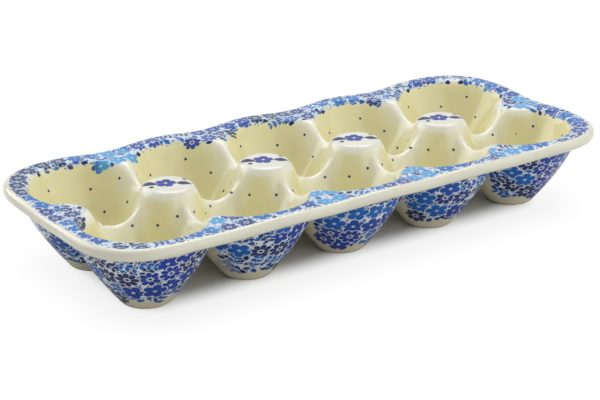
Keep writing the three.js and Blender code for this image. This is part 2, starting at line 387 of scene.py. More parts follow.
def add_piece(node, finish, upper, under, wrapped):
    """A closed piece between an upper and an under grid of points and normals, walled at its borders."""
    (upper_points, upper_normals), (under_points, under_normals) = upper, under
    points = np.concatenate([upper_points.reshape(-1, 3), under_points.reshape(-1, 3)])
    normals = np.concatenate([upper_normals.reshape(-1, 3), under_normals.reshape(-1, 3)])
    upper_count = len(points) // 2
    is_outside = np.repeat([0.0, 1.0], upper_count)
    # The upper side's paleness, painted partly for thin glaze and partly as a highlight on crests and
    # ridges.
    thin_and_highlight_share = np.zeros(len(points))
    thin_and_highlight_share[:upper_count] = thinness_and_highlight(*points[:upper_count, :2].T)

    top, bottom = closed_grids(upper_points, under_points, wrapped)
    used = np.unique(np.concatenate([top.ravel(), bottom.ravel()]))
    number = np.zeros(len(points), dtype=int)
    number[used] = np.arange(len(used))
    glazed_faces = whole_faces(number[np.concatenate([band_faces(top), band_faces(bottom)[:, ::-1]])])
    wall_faces = whole_faces(number[border_walls(top, bottom, wrapped)])

    mesh = bpy.data.meshes.new(f"{node}_shell")
    mesh.from_pydata(points[used].tolist(), [], glazed_faces + wall_faces)
    mesh.polygons.foreach_set("use_smooth", np.ones(len(mesh.polygons), dtype=bool))
    mesh.attributes.new("outside", "FLOAT", "POINT").data.foreach_set("value", is_outside[used])
    mesh.attributes.new("thin_and_highlight", "FLOAT", "POINT").data.foreach_set("value", thin_and_highlight_share[used])
    set_corner_normals(mesh, normals[used], len(glazed_faces))
    mesh.materials.append(finish)

    piece = bpy.data.objects.new(f"{node}_glazed", mesh)
    bpy.context.scene.collection.objects.link(piece)
    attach(piece, "root")
    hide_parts(node)


def add_round_piece(node, finish, plan):
    """A cup or a post: the shell over a plan of rings."""
    x, y = plan[..., 0], plan[..., 1]
    under_points, under_normals = surface(under_height, x, y)
    add_piece(node, finish, surface(upper_height, x, y), (under_points, -under_normals), wrapped=True)


def add_rim(node, finish, column, row):
    """A length of rim: flat from the mouth to the lip, which is half a circle carried along the edge."""
    angles, edge = rim_columns(column in (0, CUPS_PER_ROW - 1))
    mouth = arc(0, 0, MOUTH_RADIUS, angles)
    flat_edge = edge(OUTER_REACH - LIP_RADIUS)
    shares = np.linspace(0, 1, FLAT_ROWS + 1)[:-1, None, None]
    flat = in_crate(mouth[None] + shares * (flat_edge - mouth)[None], column, row)
    roll = np.linspace(0, np.pi / 2, LIP_ROWS)[:, None, None]
    reaches = OUTER_REACH - LIP_RADIUS * (1 - np.sin(roll[:, 0, 0]))
    lip = in_crate(np.stack([edge(reach) for reach in reaches]), column, row)

    along = np.gradient(lip[-1], axis=0)
    along /= np.linalg.norm(along, axis=-1, keepdims=True)
    along[[0, -1]] = np.round(along[[0, -1]])
    outward = np.stack([along[:, 1], -along[:, 0], np.zeros(len(along))], axis=-1)[None]
    rim_points, rim_normals = surface(rim_height, lip[..., 0], lip[..., 1])
    middle = rim_points - (0, 0, LIP_RADIUS)
    lift = np.concatenate([np.zeros((LIP_ROWS, 1, 2)), LIP_RADIUS * np.cos(roll)], axis=-1)
    upper_points, upper_normals = surface(upper_height, flat[..., 0], flat[..., 1])
    under_points, under_normals = surface(under_height, flat[..., 0], flat[..., 1])
    upper = (np.concatenate([upper_points, middle + lift]),
             np.concatenate([upper_normals, np.cos(roll) * rim_normals + np.sin(roll) * outward]))
    under = (np.concatenate([under_points, middle - lift]),
             np.concatenate([-under_normals, np.sin(roll) * outward - np.cos(roll) * rim_normals]))
    add_piece(node, finish, upper, under, wrapped=False)


# Shader arithmetic.
class Value:
    """A number in a shader: an output socket whose arithmetic adds Math nodes."""

    def __init__(self, finish, socket):
        self.finish = finish
        self.socket = socket

    def __add__(self, other):
        return self.finish.math("ADD", self, other)

    def __radd__(self, other):
        return self.finish.math("ADD", other, self)

    def __sub__(self, other):
        return self.finish.math("SUBTRACT", self, other)

    def __rsub__(self, other):
        return self.finish.math("SUBTRACT", other, self)

    def __mul__(self, other):
        return self.finish.math("MULTIPLY", self, other)

    def __rmul__(self, other):
        return self.finish.math("MULTIPLY", other, self)

    def __truediv__(self, other):
        return self.finish.math("DIVIDE", self, other)

    def __rtruediv__(self, other):
        return self.finish.math("DIVIDE", other, self)

    def __pow__(self, other):
        return self.finish.math("POWER", self, other)

    def __abs__(self):
        return self.finish.math("ABSOLUTE", self)

    def __lt__(self, other):
        return self.finish.math("LESS_THAN", self, other)

    def __gt__(self, other):
        return self.finish.math("GREATER_THAN", self, other)


class Finish:
    """A material or a world whose nodes are added by expressions."""

    def __init__(self, owner):
        self.owner = owner
        owner.use_nodes = True
        self.tree = owner.node_tree
        self.tree.nodes.clear()

    def node(self, kind, settings, sockets, *outputs):
        """A node of a type, with its settings set first and then the values or links of its sockets."""
        made = self.tree.nodes.new(kind)
        for name, setting in settings.items():
            setattr(made, name, setting)
        for name, given in sockets.items():
            if isinstance(given, Value):
                self.tree.links.new(given.socket, made.inputs[name])
            else:
                made.inputs[name].default_value = given
        values = [Value(self, made.outputs[output]) for output in outputs]
        return values[0] if len(values) == 1 else values

    def math(self, operation, *numbers):
        """One operation on numbers."""
        return self.node("ShaderNodeMath", {"operation": operation}, dict(enumerate(numbers)), 0)

    def soft(self, value, low, high):
        """0 below the low number, 1 above the high one and eased between; reversed if low is higher."""
        sockets = {"Value": value, "From Min": low, "From Max": high}
        return self.node("ShaderNodeMapRange", {"interpolation_type": "SMOOTHSTEP"}, sockets, "Result")

    def blend(self, share, first, second):
        """The first number where the share is 0, the second where it is 1."""
        return (second - first) * share + first

    def mix(self, share, base, layer):
        """The base colour where the share is 0, the layer where it is 1."""
        sockets = {"Factor": share, 6: base, 7: layer}
        return self.node("ShaderNodeMix", {"data_type": "RGBA"}, sockets, 2)

    def place(self, x, y, z=0.0):
        """A vector from its three numbers."""
        return self.node("ShaderNodeCombineXYZ", {}, {"X": x, "Y": y, "Z": z}, 0)

    def parts(self, vector):
        """The three numbers of a vector or a colour."""
        return self.node("ShaderNodeSeparateXYZ", {}, {"Vector": vector}, "X", "Y", "Z")

    def vector(self, operation, output, first, second):
        """One operation on two vectors, which gives a vector or a number."""
        return self.node("ShaderNodeVectorMath", {"operation": operation}, {0: first, 1: second}, output)

    def far(self, x, y):
        """The distance of a place in a plane from the origin."""
        return self.math("SQRT", x * x + y * y)

    def noise(self, vector, size, detail=2.0):
        """Smooth noise about 0.5, with marks of a size."""
        sockets = {"Vector": vector, "Scale": 1 / size, "Detail": detail}
        return self.node("ShaderNodeTexNoise", {"noise_dimensions": "3D"}, sockets, 0)


def tint(red, green, blue):
    """A colour from 0 to 255 a channel, made linear for the shader."""
    channels = np.array([red, green, blue]) / 255
    linear = np.where(channels <= 0.04045, channels / 12.92, ((channels + 0.055) / 1.055) ** 2.4)
    return (*linear.tolist(), 1.0)


# Glaze and clay colours. The pale tone is thin glaze and painted highlight on crests and ridges, the milky
# one is glaze and painted highlight on the tops.
IVORY = tint(227, 221, 173)
POOLED = tint(196, 186, 136)
CREAM = tint(226, 224, 206)
PALE_GLAZE_AND_HIGHLIGHT = tint(236, 234, 221)
MILK_AND_TOP_HIGHLIGHT = tint(226, 226, 216)
WALL_CREAM = tint(226, 220, 190)
BUFF = tint(201, 176, 136)
LINE_BROWN = tint(158, 126, 78)

# Print colours.
RIM_GROUND = tint(200, 217, 234)
WALL_GROUND = tint(231, 237, 243)
MIST = tint(170, 196, 226)
NAVY = tint(0, 5, 84)
ROYAL = tint(0, 34, 148)
VIOLET = tint(6, 40, 152)
TEAL = tint(0, 96, 182)
SKY = tint(76, 164, 220)
DOT_BLUE = tint(6, 34, 86)

# Where the print lies on the rim and on the outside of a cup, and how ragged its border is.
PRINT_EDGE = 0.0393
PRINT_MOUTH = 0.0308
WEB_FROM_SIDE = 0.0205
WEB_FROM_END = 0.0135
WEB_FADE = (0.003, 0.006)
PRINT_FOOT = 0.0075
WALL_PRINT_TOP = 0.0366
PRINT_TURN = math.radians(66)
CORNER_TURN = math.radians(45)
ROLL_IN = 0.8
RAGGED_SIZE = 0.0045
RAGGED_DEPTH = 0.006

# Small lengths: the blur of an ink's edge, a sliver, and one that keeps an angle defined.
BLUR = 0.00022
SLIVER = 0.0001
TINY = 1e-6

# The length of the printed band round a quarter of the rim, and the grid of flowers that fits in it.
BAND_MIDDLE = 0.0352
CORNER_LENGTH = BAND_MIDDLE * math.pi / 2
QUARTER_RIM = END_CUP_X + CORNER_LENGTH + HALF_ROW
FLOWERS_ROUND_QUARTER = 21
FLOWER_SPACING = QUARTER_RIM / FLOWERS_ROUND_QUARTER
FLOWER_JITTER = 0.25
FIRST_ROW = BAND_MIDDLE - FLOWER_SPACING * FLOWER_JITTER
CUP_SHIFT = 14 * FLOWER_SPACING
ROW_SHIFT = 5 * FLOWER_SPACING
RIM_MARGIN = 0.001
RIM_FLOWER_SIZE = 0.86
WALL_FLOWER_SIZE = 1.05

# The cone that the outside of a cup unrolls from.
CONE = (SHELL_RADIUS - FOOT_RADIUS) / math.hypot(SHELL_RADIUS - FOOT_RADIUS, UNDERSIDE)
CONE_START = FOOT_RADIUS / CONE
CONE_SLANT = math.hypot(SHELL_RADIUS - FOOT_RADIUS, UNDERSIDE) / UNDERSIDE

# Flowers: the random numbers from which they are asters and sprays, and their sizes.
ASTERS_FROM = 0.45
SPRAYS_FROM = 0.80
BLOSSOM = {"count": 5, "inner": 0.0007, "outer": 0.0054, "width": 0.0040}
ASTER = {"count": 8, "inner": 0.0014, "outer": 0.0053, "width": 0.0026}
ASTER_EYE = 0.0009
PETAL_TAPER = 0.35
PETAL_SHARE_LIMIT = 1.5
LEAF_TAPER = 0.3
LEAF_SHARE_LIMIT = 2
SPRAY_BEND = 40
SPRAY_STEM_HALF_WIDTH = 0.00025
SPRAY_STEM_HALF_LENGTH = 0.0037
SPRAY_STEM_MIDDLE = 0.0005
SPRAY_HALF_LENGTH = 0.0047
SPRAY_PAIR_PITCH = 0.0031
SPRAY_LEAF_ALONG = 0.0016
SPRAY_LEAF_OUT = 0.0004
SPRAY_LEAF_SLANT = 0.9
SPRAY_LEAF = {"length": 0.0042, "width": 0.0021}

# Flower inks: the size of clusters of one tone, and where in the tones one ink turns into the next.
CLUSTER_SIZE = 0.017
CLUSTER_DETAIL = 1.0
CLUSTER_FADE = (0.40, 0.58)
CLUSTER_SHARE = 0.65
BLOSSOM_FADE = (0.50, 0.70)
ASTER_FADE = (0.55, 0.65)
LEAF_FADE = (0.3, 0.7)
WEB_BLOSSOM_LIGHT = 0.9
WEB_ASTER_LIGHT = 0.5
PETAL_FADE = (-0.0002, -0.0009)
PETAL_LIGHT = 0.25
CLEAR_FADE = (0.0005, 0.0002)

# Loose leaves and seeds between the flowers.
LEAF_SCATTER = {"spacing": 0.0034, "jitter": 0.7, "turn": 1.1}
LOOSE_LEAF = {"length": 0.0044, "width": 0.0028}
LEAVES_FROM = 0.5
MORE_WALL_LEAVES = 0.25
SEED_SCATTER = {"spacing": 0.0027, "jitter": 1.0, "turn": 0.7}
SEED_RADIUS = 0.00055
SEED_FADE = (-0.0012, 0.0)

# Dots in the bowls, on a spiral.
DOTS_PER_BOWL = 22
DOT_RADIUS = 0.00076
DOT_SPREAD = 0.029
DOT_CROWDING = 0.42
FIRST_DOT = 0.6
FIRST_DOT_ANGLE = 0.4
GOLDEN_ANGLE = 2.39996

# The sprig on top of a post: where its leaves are, their turn and size, and where its berries are.
SPRIG_SCALE = 0.82
SPRIG_TURN = -0.3
SPRIG_BEND = 26
SPRIG_STEM_DROP = 0.0012
SPRIG_STEM_HALF_WIDTH = 0.0003
SPRIG_STEM_HALF_LENGTH = 0.0082
SPRIG_BLOOM_PLACE = (-0.0008, 0.0006)
SPRIG_BLOOM = {"count": 5, "inner": 0.0006, "outer": 0.0044, "width": 0.0036}
SPRIG_LEAVES = (
    ((-0.0074, 0.0018), -0.5, {"length": 0.0072, "width": 0.0040}),
    ((0.0068, -0.0014), -0.35, {"length": 0.0068, "width": 0.0038}))
SPRIG_BERRIES = ((0.0080, 0.0032), (-0.0074, -0.0022))
BERRY_RADIUS = 0.0010

# Glaze: where each colour fades in, and how strongly it covers what is below it.
# Height where the tops turn milkier, partly glaze and partly a painted highlight.
TOP_HIGHLIGHT_FADE = (0.0430, 0.0458)
LIP_FADE = (0.0388, 0.0402)
# Strength of the paleness painted for thin glaze and as highlights on crests and ridges.
THIN_AND_HIGHLIGHT_PALENESS = 0.9
CLOUD_SIZE = 0.014
CLOUD_DETAIL = 3.0
POOL_FADE = (0.45, 0.75)
POOL_SHARE = 0.18
GRAIN_SIZE = 0.0011
HAZE_FADE = (-0.0016, 0.0022)
HAZE_SHARE = 0.8
MIST_FADE = (0.48, 0.62)
MIST_SHARE = 0.35
SPECKLE_FADE = (0.5, 0.75)
SPECKLE_SHARE = 0.2
INK_COVER = 0.98
DOT_COVER = 0.97
FOOT_FADE = (0.0006, 0.0003)
FOOT_LINE_FADE = (0.0016, 0.0008)
FOOT_LINE_SHARE = 0.7

# Gloss: the glaze is a coat on the upper side, and plainer on the outside of the cups.
GLAZE_ROUGHNESS = 0.12
CLOUD_ROUGHNESS = 0.08
CLAY_ROUGHNESS = 0.55
GLAZE_WAVE = {"Strength": 0.25, "Distance": 0.0006}
GLAZE_GLOSS = {"IOR": 1.22, "Coat Roughness": 0.09}
COAT = 0.7


# The print, drawn with shader arithmetic.
def inked(paint, past_edge):
    """1 inside an outline and 0 outside it, from the distance past the outline."""
    return paint.soft(past_edge, BLUR, -BLUR)


def turned(paint, x, y, angle):
    """A plane turned about its origin by an angle."""
    if isinstance(angle, Value):
        cosine, sine = paint.math("COSINE", angle), paint.math("SINE", angle)
    else:
        cosine, sine = math.cos(angle), math.sin(angle)
    return x * cosine + y * sine, y * cosine - x * sine


def leaf(paint, x, y, length, width):
    """The distance past a leaf along X: its half width falls by a square law to points at both ends."""
    share = paint.math("MINIMUM", x * (2 / length), LEAF_SHARE_LIMIT)
    return abs(y) - (1 - share * share) * (1 - share * LEAF_TAPER) * (width / 2)


def petals(paint, x, y, count, inner, outer, width):
    """The distance past a ring of petals: the plane is folded into one sector, where a petal is an ellipse
    that is fuller towards its tip."""
    sector = 2 * math.pi / count
    angle = paint.math("ARCTAN2", y, x)
    fold = angle - paint.math("ROUND", angle * (1 / sector)) * sector
    far = paint.far(x, y)
    share = (far * paint.math("COSINE", fold) - (inner + outer) / 2) * (2 / (outer - inner))
    across = far * paint.math("SINE", fold) * (2 / width)
    fuller = 1 - paint.math("MINIMUM", share, PETAL_SHARE_LIMIT) * PETAL_TAPER
    return (share * share + across * across * fuller - 1) * (width / 4)


def scatter(paint, x, y, spacing, jitter, turn):
    """Marks on a jittered square grid turned in its plane: the offset from the nearest mark, its place, and
    three random numbers for it."""
    cosine, sine = math.cos(turn), math.sin(turn)
    grid = paint.place(x * cosine + y * sine, y * cosine - x * sine)
    sockets = {"Vector": grid, "Scale": 1 / spacing, "Randomness": jitter}
    settings = {"voronoi_dimensions": "2D"}
    colour, centre = paint.node("ShaderNodeTexVoronoi", settings, sockets, "Color", "Position")
    offset = paint.parts(paint.vector("SUBTRACT", "Vector", grid, centre))[:2]
    centre_x, centre_y, _ = paint.parts(centre)
    place = (centre_x * cosine - centre_y * sine, centre_x * sine + centre_y * cosine)
    return offset, place, paint.parts(colour)


def cup_at(paint, x, y):
    """The column of the nearest cup, counted from the middle, and the offsets along the row and outward
    from it."""
    last = (CUPS_PER_ROW - 1) / 2
    column = paint.math("ROUND", x * (1 / CUP_PITCH))
    column = paint.math("MINIMUM", paint.math("MAXIMUM", column, -last), last)
    return column, x - column * CUP_PITCH, abs(y) - HALF_ROW


def past_cups(paint, x, y):
    """How far a place is past the centres of the end cups and of the side cups, and 0 between them."""
    past_end = paint.math("MAXIMUM", abs(x) - END_CUP_X, 0)
    past_side = paint.math("MAXIMUM", abs(y) - HALF_ROW, 0)
    return past_end, past_side


def edge_reach(paint, x, y):
    """How far out a place is on the lip's own scale: the superellipse of its offsets past the end cups and
    the side cups, and the wave of the long sides."""
    past_end, past_side = past_cups(paint, x, y)
    reach = (past_end ** CORNER_SQUARENESS + past_side ** CORNER_SQUARENESS) ** (1 / CORNER_SQUARENESS)
    wave = paint.math("COSINE", paint.math("MINIMUM", abs(x), END_CUP_X) * (2 * math.pi / CUP_PITCH))
    return reach + (1 - wave) * (SIDE_SCALLOP / 2)


def along_rim(paint, x, y):
    """How far a place is round the rim from the middle of a long side: straight along the side, by the
    angle round a corner, then straight along the end."""
    past_end, past_side = past_cups(paint, x, y)
    corner = paint.math("ARCTAN2", past_end, past_side + TINY) * BAND_MIDDLE
    end = paint.math("MAXIMUM", HALF_ROW - abs(y), 0) * paint.soft(past_end, SLIVER, 2 * SLIVER)
    return paint.math("MINIMUM", abs(x), END_CUP_X) + corner + end


def rim_depth(paint, along, reach):
    """How deep a place on the rim lies in print, from its length round the rim and its reach: outside the
    mouth circle of its cup and near enough to the lip."""
    wrapped = along - paint.math("ROUND", along * (1 / CUP_PITCH)) * CUP_PITCH
    past = paint.math("MAXIMUM", along - END_CUP_X - CORNER_LENGTH, 0)
    on_side = along < END_CUP_X
    across = paint.blend(on_side, past, wrapped)
    wave = (1 - paint.math("COSINE", wrapped * (2 * math.pi / CUP_PITCH))) * (SIDE_SCALLOP / 2) * on_side
    near_lip = reach - paint.blend(on_side, WEB_FROM_END, WEB_FROM_SIDE)
    return paint.math("MINIMUM", paint.far(across, reach - wave) - PRINT_MOUTH, near_lip)


def wall_depth(paint, slant, turn, at_end):
    """How deep a place lies in the print on the outside of a cup, from its slant height and its turn."""
    height = (slant - CONE_START) * (1 / CONE_SLANT)
    sideways = (at_end * CORNER_TURN + PRINT_TURN - abs(turn)) * (CONE * slant)
    return paint.math("MINIMUM", sideways, height - PRINT_FOOT)


def spray(paint, x, y):
    """The distance past a spray along X: a bent stem and pairs of slanted leaves, repeated along it."""
    bend = abs(y + x * x * SPRAY_BEND) - SPRAY_STEM_HALF_WIDTH
    stem = paint.math("MAXIMUM", bend, abs(x - SPRAY_STEM_MIDDLE) - SPRAY_STEM_HALF_LENGTH)
    pair_x = x - paint.math("ROUND", x * (1 / SPRAY_PAIR_PITCH)) * SPRAY_PAIR_PITCH
    leaf_x, leaf_y = turned(paint, pair_x, abs(y) - SPRAY_LEAF_OUT, SPRAY_LEAF_SLANT)
    pair = leaf(paint, leaf_x - SPRAY_LEAF_ALONG, leaf_y, **SPRAY_LEAF)
    return paint.math("MINIMUM", stem, paint.math("MAXIMUM", pair, abs(x) - SPRAY_HALF_LENGTH))


def flower_layer(paint, u, v, shift, outside, web, keep):
    """One half of the flowers, on every second place of the pattern's square grid: blossoms, asters and
    sprays, each kept whole if its middle is in print. Gives their cover, the space clear of them, and
    their ink."""
    spacing = FLOWER_SPACING * math.sqrt(2)
    offset, middle, (kind, shade, spin) = scatter(paint, u + shift, v, spacing, FLOWER_JITTER, math.pi / 4)
    kept = keep(middle[0] - shift, middle[1])
    size = paint.blend(outside, RIM_FLOWER_SIZE, WALL_FLOWER_SIZE)
    x, y = turned(paint, offset[0] / size, offset[1] / size, spin * (2 * math.pi))
    blossom = petals(paint, x, y, **BLOSSOM)
    aster = paint.math("MINIMUM", petals(paint, x, y, **ASTER), paint.far(x, y) - ASTER_EYE)
    is_aster = kind > ASTERS_FROM
    is_spray = kind > SPRAYS_FROM
    flower = paint.blend(is_spray, paint.blend(is_aster, blossom, aster), spray(paint, x, y))

    cluster = paint.noise(paint.place(*middle), CLUSTER_SIZE, CLUSTER_DETAIL)
    lean = paint.soft(cluster, *CLUSTER_FADE) * CLUSTER_SHARE + shade * (1 - CLUSTER_SHARE)
    blue = paint.mix(paint.soft(lean, *BLOSSOM_FADE), TEAL, ROYAL)
    blue = paint.mix(web * WEB_BLOSSOM_LIGHT, blue, SKY)
    deep = paint.mix(paint.soft(lean, *ASTER_FADE), paint.mix(outside, VIOLET, ROYAL), NAVY)
    deep = paint.mix(web * WEB_ASTER_LIGHT, deep, ROYAL)
    ink = paint.mix(is_aster, blue, deep)
    ink = paint.mix(is_spray, ink, paint.mix(paint.soft(lean, *LEAF_FADE), TEAL, NAVY))
    lighter = paint.mix(outside, SKY, TEAL)
    ink = paint.mix(paint.soft(flower, *PETAL_FADE) * PETAL_LIGHT, ink, lighter)
    return inked(paint, flower) * kept, 1 - paint.soft(flower, *CLEAR_FADE) * kept, ink


def flower_print(paint, x, y, z, outside):
    """The depth, ink colour and cover of the print. The rim is drawn along its length and reach, and the
    outside of each cup on its cone unrolled. Two layers of flowers come first, then small leaves and seeds
    between them."""
    column, across, outward = cup_at(paint, x, y)
    at_end = abs(column) > (CUPS_PER_ROW - 2) / 2
    turn = paint.math("ARCTAN2", across, outward) - at_end * paint.math("SIGN", x) * CORNER_TURN
    slant = z * CONE_SLANT + CONE_START
    cup_shift = column * CUP_SHIFT + paint.math("SIGN", y) * ROW_SHIFT
    unrolled_u = slant * paint.math("SINE", turn * CONE) + cup_shift
    unrolled_v = slant * paint.math("COSINE", turn * CONE)

    along = along_rim(paint, x, y)
    reach = edge_reach(paint, x, y)
    rolled = reach - paint.math("MAXIMUM", RIM_TOP - RIM_DIP - z, 0) * ROLL_IN
    round_rim = paint.blend(y > 0, along, 2 * QUARTER_RIM - along) * paint.math("SIGN", x)
    u = paint.blend(outside, round_rim + FLOWER_SPACING / 2, unrolled_u)
    v = paint.blend(outside, rolled - FIRST_ROW, unrolled_v)

    edge = paint.blend(outside, PRINT_EDGE - reach, WALL_PRINT_TOP - z)
    depth = paint.blend(outside, rim_depth(paint, along, rolled), wall_depth(paint, slant, turn, at_end))
    ragged = (paint.noise(paint.place(u, v), RAGGED_SIZE) - 0.5) * RAGGED_DEPTH
    depth = paint.math("MINIMUM", depth + ragged, edge)
    web = paint.soft(paint.far(across, outward) - reach, *WEB_FADE) * (1 - outside)

    def keep(middle_u, middle_v):
        """1 for a flower whose middle is in print, found on the rim and on the cone alike."""
        middle_along = QUARTER_RIM - abs(abs(middle_u - FLOWER_SPACING / 2) - QUARTER_RIM)
        on_rim = rim_depth(paint, middle_along, middle_v + FIRST_ROW) + RIM_MARGIN
        cone_u = middle_u - cup_shift
        cone_turn = paint.math("ARCTAN2", cone_u, middle_v) * (1 / CONE)
        on_wall = wall_depth(paint, paint.far(cone_u, middle_v), cone_turn, at_end)
        within = paint.soft(paint.blend(outside, on_rim, on_wall), -SLIVER, SLIVER)
        return within * paint.soft(edge, -2 * SLIVER, 2 * SLIVER)

    cover, clear, ink = flower_layer(paint, u, v, 0.0, outside, web, keep)
    cover_below, clear_below, ink_below = flower_layer(paint, u, v, FLOWER_SPACING, outside, web, keep)
    ink = paint.mix(1 - clear, ink_below, ink)
    cover = paint.math("MAXIMUM", cover, cover_below * clear)
    clear = clear * clear_below

    offset, middle, (shade, chance, spin) = scatter(paint, u, v, **LEAF_SCATTER)
    leaf_x, leaf_y = turned(paint, *offset, spin * (2 * math.pi))
    leaves = inked(paint, leaf(paint, leaf_x, leaf_y, **LOOSE_LEAF)) * clear * keep(*middle)
    leaves = leaves * (chance + outside * MORE_WALL_LEAVES > LEAVES_FROM)
    ink = paint.mix(leaves, ink, paint.mix(paint.soft(shade, *LEAF_FADE), NAVY, TEAL))
    offset, _, (shade, _, _) = scatter(paint, u, v, **SEED_SCATTER)
    seeds = inked(paint, paint.far(*offset) - SEED_RADIUS) * clear * paint.soft(depth, *SEED_FADE)
    ink = paint.mix(seeds * (1 - leaves), ink, paint.mix(shade, ROYAL, TEAL))
    cover = paint.math("MAXIMUM", cover, paint.math("MAXIMUM", leaves, seeds))
    return depth, ink, cover


def bowl_dots(paint, x, y, z):
    """Small spots on the wall of a bowl: each is a ball about a point of the surface, set on a spiral of
    golden angles in the folded frame of a cup, which every second cup mirrors."""
    column, across, outward = cup_at(paint, x, y)
    odd = abs(column - paint.math("ROUND", column * 0.5) * 2)
    here = paint.place(across * (1 - odd * 2), outward, z)
    number = np.arange(DOTS_PER_BOWL)
    spread = DOT_SPREAD * ((number + FIRST_DOT) / DOTS_PER_BOWL) ** DOT_CROWDING
    dots_x = spread * np.cos(number * GOLDEN_ANGLE + FIRST_DOT_ANGLE)
    dots_out = spread * np.sin(number * GOLDEN_ANGLE + FIRST_DOT_ANGLE)
    dots_z = upper_height(dots_x, -HALF_ROW - dots_out)
    nearest = OUTER_REACH
    for dot in np.stack([dots_x, dots_out, dots_z], axis=-1).tolist():
        nearest = paint.math("MINIMUM", paint.vector("DISTANCE", "Value", here, dot), nearest)
    return inked(paint, nearest - DOT_RADIUS)


def post_sprig(paint, x, y):
    """The cover and ink of a small sprig on top of a post: a bent stem, a flower, leaves and berries."""
    post = paint.math("ROUND", (x - HALF_PITCH) * (1 / CUP_PITCH)) * CUP_PITCH + HALF_PITCH
    along, across = turned(paint, (x - post) * SPRIG_SCALE, y * SPRIG_SCALE, SPRIG_TURN)
    bend = abs(across - along * along * SPRIG_BEND + SPRIG_STEM_DROP) - SPRIG_STEM_HALF_WIDTH
    dark = paint.math("MAXIMUM", bend, abs(along) - SPRIG_STEM_HALF_LENGTH)
    for (leaf_x, leaf_y), turn, size in SPRIG_LEAVES:
        past_leaf = leaf(paint, *turned(paint, along - leaf_x, across - leaf_y, turn), **size)
        dark = paint.math("MINIMUM", dark, past_leaf)
    for berry_x, berry_y in SPRIG_BERRIES:
        past_berry = paint.far(along - berry_x, across - berry_y) - BERRY_RADIUS
        dark = paint.math("MINIMUM", dark, past_berry)
    bloom_x, bloom_y = SPRIG_BLOOM_PLACE
    bloom = inked(paint, petals(paint, along - bloom_x, across - bloom_y, **SPRIG_BLOOM))
    return paint.math("MAXIMUM", bloom, inked(paint, dark)), paint.mix(bloom, NAVY, ROYAL)


def glaze(name, printed, dotted, sprigged):
    """Glossy glaze over the print: ivory in the bowls, paler where it is thin and as a painted highlight on
    crests and ridges, milkier and with a painted highlight on top, cream on the lip, and bare clay on the
    standing faces."""
    paint = Finish(bpy.data.materials.new(name))
    position = paint.node("ShaderNodeTexCoord", {}, {}, "Object")
    x, y, z = paint.parts(position)
    outside = paint.node("ShaderNodeAttribute", {"attribute_name": "outside"}, {}, "Fac")
    # Paleness painted for thin glaze and as a highlight on crests and ridges.
    thin_and_highlight = paint.node("ShaderNodeAttribute", {"attribute_name": "thin_and_highlight"}, {}, "Fac")
    cloud = paint.noise(position, CLOUD_SIZE, CLOUD_DETAIL)
    grain = paint.noise(position, GRAIN_SIZE)
    inside = 1 - outside

    def speckled(ink):
        """An ink with lighter grain in it."""
        return paint.mix(paint.soft(grain, *SPECKLE_FADE) * SPECKLE_SHARE, ink, SKY)

    # Paler where the glaze is thin, and a painted highlight on crests and ridges.
    colour = paint.mix(thin_and_highlight * THIN_AND_HIGHLIGHT_PALENESS, paint.mix(outside, IVORY, WALL_CREAM), PALE_GLAZE_AND_HIGHLIGHT)
    # Whiter on the tops: milkier glaze and a painted highlight.
    colour = paint.mix(paint.soft(z, *TOP_HIGHLIGHT_FADE) * inside, colour, MILK_AND_TOP_HIGHLIGHT)
    colour = paint.mix(paint.soft(edge_reach(paint, x, y), *LIP_FADE), colour, CREAM)
    colour = paint.mix(paint.soft(cloud, *POOL_FADE) * POOL_SHARE, colour, POOLED)
    if printed:
        depth, ink, cover = flower_print(paint, x, y, z, outside)
        haze = paint.soft(depth, *HAZE_FADE)
        colour = paint.mix(haze * HAZE_SHARE, colour, paint.mix(outside, RIM_GROUND, WALL_GROUND))
        colour = paint.mix(haze * paint.soft(grain, *MIST_FADE) * MIST_SHARE, colour, MIST)
        colour = paint.mix(cover * INK_COVER, colour, speckled(ink))
    if dotted:
        colour = paint.mix(bowl_dots(paint, x, y, z) * inside * DOT_COVER, colour, DOT_BLUE)
    if sprigged:
        cover, ink = post_sprig(paint, x, y)
        colour = paint.mix(cover * inside * INK_COVER, colour, speckled(ink))
    foot = paint.soft(z, *FOOT_FADE) * outside
    colour = paint.mix(paint.soft(z, *FOOT_LINE_FADE) * outside * FOOT_LINE_SHARE, colour, LINE_BROWN)
    colour = paint.mix(foot, colour, BUFF)

    roughness = cloud * CLOUD_ROUGHNESS + GLAZE_ROUGHNESS + foot * CLAY_ROUGHNESS
    wave = paint.node("ShaderNodeBump", {}, {"Height": cloud, **GLAZE_WAVE}, "Normal")
    sockets = {"Base Color": colour, "Roughness": roughness, "Normal": wave, "Coat Weight": inside * COAT}
    shader = paint.node("ShaderNodeBsdfPrincipled", {}, {**sockets, **GLAZE_GLOSS}, 0)
    paint.node("ShaderNodeOutputMaterial", {}, {"Surface": shader})
    return paint.owner


# Floor: its size, and the distances past the cups over which it turns white.
FLOOR_HALF = 4.0
FLOOR_GAP = 0.0002
FLOOR_COLOUR = (0.70, 0.695, 0.68, 1)
WHITE = (1, 1, 1, 1)
FLOOR_END_LEAD = 0.006
NEAR_FADE = (0.0, 0.022)
NEAR_SHARE = 0.84
FAR_FADE = (0.016, 0.054)
MIRROR_FADE = (0.024, 0.075)

# Room: its light, the way its front lies, and the turns from there where the sweep begins on each side.
ROOM_LIGHT = 0.42
SWEEP_LIGHT = 0.15
ROOM_FRONT = (-0.569, -0.822)
RIGHT_SWEEP_FADE = (0.5, 1.0)
LEFT_SWEEP_FADE = (-1.7, -2.2)

